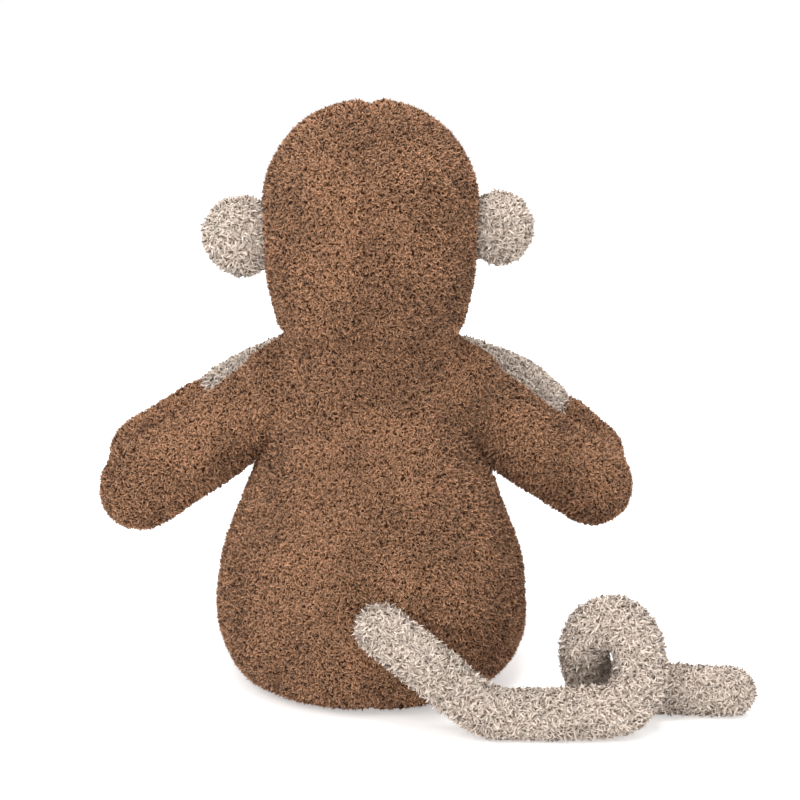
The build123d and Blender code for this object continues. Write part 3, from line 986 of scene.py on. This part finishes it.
arm = {
    "voxel": 0.0040,
    "swell": 0.0016,
    "cloth": 0.0015,
    "handLength": 0.082,
    "wristOut": 0.028,
    "wristDrop": {"left": 0.008, "right": 0.005},
    "seamDepth": 0.0016,
    "seamWidth": 0.004,
    "middle": 1.06,           # fullness of the upper arm, as shares of its radius
    "end": 1.03,
    "palm": 0.99,
    "sag": {"left": 0.0020, "right": 0.0030},
    "foldReach": 0.0090,      # from the fold's middle towards the elbow's tip
    "foldRadius": 0.0180,
}
for side, sign in sideSigns.items():
    shoulder = jointPoint("shoulder_lift_" + side)
    low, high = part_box("upper_arm_sleeve_" + side)
    radius = high.y - shoulder.y
    outer = (high.x if sign > 0 else low.x) - sign * radius
    elbow = Vector((outer, low.y + radius, low.z + radius))
    along = (elbow - shoulder).normalized()
    inner = radius - 0.0008
    upper = routeTube(
        "upper_arm_plush_" + side, [shoulder, (shoulder + elbow) / 2 - up * arm["sag"][side], elbow],
        [inner, inner * arm["middle"], inner * arm["end"]],
    )
    evenSkin(upper, arm["voxel"], 3)
    stuff(upper, arm["swell"])
    fillOut(upper, ["upper_arm_sleeve_" + side])
    growPile(upper, "brown", brownPlush, [torsoTree], 0.006, seed=40 + sign)
    handOver(
        upper, ["upper_arm_sleeve_" + side, "upper_arm_filling_" + side],
        "upper_arm_" + side,
    )

    low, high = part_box("forearm_sleeve_" + side)
    outer = (high.x if sign > 0 else low.x) - sign * radius
    start = Vector((outer, high.y - radius, low.z + radius))
    low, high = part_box("hand_" + side)
    tip = (low.x if sign > 0 else high.x) + sign * radius
    palm = Vector((tip, low.y + radius, high.z - radius))
    wrist = (start + palm) / 2
    wrist.x = palm.x + sign * arm["wristOut"]
    wrist.z = palm.z - arm["wristDrop"][side]
    forearm = routeTube(
        "forearm " + side, [start, (start + wrist) / 2, wrist, palm],
        [inner, inner, inner, inner * arm["palm"]],
    )
    evenSkin(forearm, arm["voxel"], 3)
    back = (start - wrist).normalized()
    seam = wrist + back * (arm["handLength"] - radius - (palm - wrist).length)
    stuff(forearm, arm["swell"], lambda co: abs((co - seam).dot(back)) < 0.003)
    fillOut(forearm, ["forearm_sleeve_" + side, "hand_" + side], "z")
    pinch(forearm, lambda co: (co - seam).dot(back), arm["seamDepth"], arm["seamWidth"])
    sleeve = panel(forearm, "forearm_plush_" + side, [(seam, back)], arm["cloth"])
    growPile(sleeve, "brown", brownPlush, seed=43 + sign)
    handOver(
        sleeve, ["forearm_sleeve_" + side, "forearm_filling_" + side],
        "forearm_" + side,
    )
    hand = panel(forearm, "hand_plush_" + side, [(seam, -back)], arm["cloth"])
    growPile(hand, "cream", creamPlush, seed=46 + sign)
    handOver(hand, ["hand_" + side, "forearm_filling_" + side], "forearm_" + side)
    dropPiece(forearm)

    # the cloth of the fold at the elbow
    middle = (elbow + start) / 2
    fold = routeTube(
        "elbow_fold_plush_" + side,
        [elbow - along * 0.004, middle + along * arm["foldReach"], start - along * 0.004],
        [inner * 0.97, arm["foldRadius"], inner * 0.97],
    )
    evenSkin(fold, arm["voxel"], 2)
    stuff(fold, 0.0008)
    growPile(fold, "brown", brownPlush, seed=49 + sign)
    handOver(fold, ["upper_arm_sleeve_" + side])
    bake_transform(fold)
print("arms done")

# legs

leg = {
    "voxel": 0.0042, "swell": 0.0016, "ankle": 0.95, "foot": 1.03,
    "seamDepth": 0.0018, "seamWidth": 0.004, "cloth": 0.0015,
}
for side, sign in sideSigns.items():
    hip = jointPoint("hip_lift_" + side)
    low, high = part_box("foot_" + side)
    radius = (high.z - low.z) / 2
    toe = Vector(((high.x - radius) if sign > 0 else (low.x + radius), low.y + radius, hip.z))
    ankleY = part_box("leg_sleeve_" + side)[0].y
    ankle = hip.lerp(toe, (ankleY - hip.y) / (toe.y - hip.y))
    inner = radius - 0.0010
    skin = routeTube(
        "leg " + side, [hip, hip.lerp(ankle, 0.5), ankle, toe],
        [inner, inner, inner * leg["ankle"], inner * leg["foot"]],
    )
    evenSkin(skin, leg["voxel"], 3)
    ahead = (toe - hip).normalized()
    stuff(skin, leg["swell"], lambda co: abs((co - ankle).dot(ahead)) < 0.003)
    fillOut(skin, ["leg_sleeve_" + side, "foot_" + side], "y")
    pinch(skin, lambda co: (co - ankle).dot(ahead), leg["seamDepth"], leg["seamWidth"])
    sleeve = panel(skin, "leg_plush_" + side, [(ankle, -ahead)], leg["cloth"])
    growPile(sleeve, "brown", brownPlush, [torsoTree], 0.006, seed=60 + sign)
    handOver(sleeve, ["leg_sleeve_" + side, "leg_filling_" + side], "leg_" + side)
    foot = panel(skin, "foot_plush_" + side, [(ankle, ahead)], leg["cloth"])
    growPile(foot, "cream", creamPlush, seed=63 + sign)
    handOver(foot, ["foot_" + side, "leg_filling_" + side], "leg_" + side)
    dropPiece(skin)
print("legs done")

# tail: one padded tube that bends where it meets the floor

tail = {
    "radius": 0.0100, "drop": 0.050, "dropBack": 0.013, "kneeShare": 0.4, "kneeBack": 0.011,
    "kneeFall": 0.3, "curlWidth": 0.0135, "tipRun": 0.062, "tipBack": 0.003, "voxel": 0.0026,
    "swell": 0.0010, "bendReach": 0.013, "steps": 8, "curlShift": -0.0020, "rootUp": 0.0030,
    "tipShort": 0.0025,
}
root = jointPoint("tail_swing")
hinge = jointPoint("tail_curl_swing")
low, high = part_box("tail_curl_sleeve")
radius = tail["radius"]
level = low.z + radius
curlHeight = (high.z - low.z) / 2 - radius
curlDepth = high.y - low.y - 2 * radius
curlX = low.x + radius + tail["tipRun"] + tail["curlShift"]
fall = tail["kneeFall"] * (root.z - level)
knee = root + Vector((-tail["kneeShare"] * tail["drop"], tail["kneeBack"], -fall))
landing = Vector((root.x - tail["drop"], root.y + tail["dropBack"], level))
route = [root + up * tail["rootUp"], knee + up * tail["rootUp"] / 2, landing, hinge]
for step in range(tail["steps"] + 1):
    turn = math.radians(-90 + 360 * step / tail["steps"])
    route.append(
        Vector((
            curlX - tail["curlWidth"] * math.cos(turn),
            landing.y - curlDepth * step / tail["steps"],
            level + curlHeight * (1 + math.sin(turn)),
        ))
    )
route.append(route[-1] + Vector((tail["tipShort"] - tail["tipRun"], tail["tipBack"], 0)))
tailSkin = routeTube("tail_plush", route, [radius - 0.0002] * len(route))
evenSkin(tailSkin, tail["voxel"], 2)
stuff(tailSkin, tail["swell"])
fillOut(tailSkin, ["tail_root_sleeve", "tail_curl_sleeve"], "z")
growPile(tailSkin, "cream", creamPlush, [torsoTree], 0.005, seed=70)
handOver(
    tailSkin,
    ["tail_root_sleeve", "tail_root_filling", "tail_curl_sleeve", "tail_curl_filling"],
)
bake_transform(tailSkin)
dropPiece(torsoSkin)
dropPiece(headSkin)
for tufts in tuftSets.values():
    for tuft in list(tufts.objects):
        dropPiece(tuft)
    bpy.data.collections.remove(tufts)
print("tail done")

# floor, light and camera

studio = {
    "distance": 1.1, "elevation": 13, "azimuth": 180, "lens": 99, "aim": (-0.0145, 0, 0.1428),
    "floor": 14, "floorGlow": 0.42, "world": 0.62,
}
bm = bmesh.new()
bmesh.ops.create_circle(bm, cap_ends=True, segments=64, radius=studio["floor"])
floor = newPiece("floor", bm)
floorMaterial, tree, shader = surface("pale floor", 0.9, 0.1)
paint = colourMix(tree, noiseAt(tree, 3), (0.93, 0.93, 0.93, 1), (0.945, 0.945, 0.945, 1))
tree.links.new(paint, shader.inputs["Base Color"])
shader.inputs["Emission Color"].default_value = (1, 1, 1, 1)
shader.inputs["Emission Strength"].default_value = studio["floorGlow"]
floor.data.materials.append(floorMaterial)


def softBox(name, spot, size, power):
    light = bpy.data.lights.new(name, "AREA")
    light.size = size
    light.energy = power
    lamp = bpy.data.objects.new(name, light)
    scene.collection.objects.link(lamp)
    lamp.location = spot
    lamp.rotation_euler = (Vector((0, 0, 0.12)) - Vector(spot)).to_track_quat("-Z", "Y").to_euler()


softBox("key", (0.75, 1.0, 1.25), 0.8, 12)
softBox("fill", (-1.0, 0.9, 0.7), 1.0, 2)
softBox("front", (-0.6, -1.0, 1.1), 0.9, 8)
softBox("top", (0.1, 0.3, 1.6), 0.9, 20)
world = bpy.data.worlds.new("studio")
world.use_nodes = True
tree = world.node_tree
soft = tree.nodes["Background"]     # light on the toy
wall = tree.nodes.new("ShaderNodeBackground")     # what the camera sees behind it
choose = tree.nodes.new("ShaderNodeMixShader")
path = tree.nodes.new("ShaderNodeLightPath")
for sky, strength in ((soft, studio["world"]), (wall, 1.0)):
    sky.inputs["Color"].default_value = (1, 1, 1, 1)
    sky.inputs["Strength"].default_value = strength
tree.links.new(path.outputs["Is Camera Ray"], choose.inputs[0])
tree.links.new(soft.outputs[0], choose.inputs[1])
tree.links.new(wall.outputs[0], choose.inputs[2])
tree.links.new(choose.outputs[0], tree.nodes["World Output"].inputs["Surface"])
scene.world = world
scene.view_settings.view_transform = "Standard"

lens = bpy.data.cameras.new("camera")
lens.lens = studio["lens"]
camera = bpy.data.objects.new("camera", lens)
scene.collection.objects.link(camera)
aim = Vector(studio["aim"])
around, rise = math.radians(studio["azimuth"]), math.radians(studio["elevation"])
away = Vector((math.sin(around) * math.cos(rise), -math.cos(around) * math.cos(rise), math.sin(rise)))
camera.location = aim + away * studio["distance"]
camera.rotation_euler = (-away).to_track_quat("-Z", "Y").to_euler()
scene.camera = camera
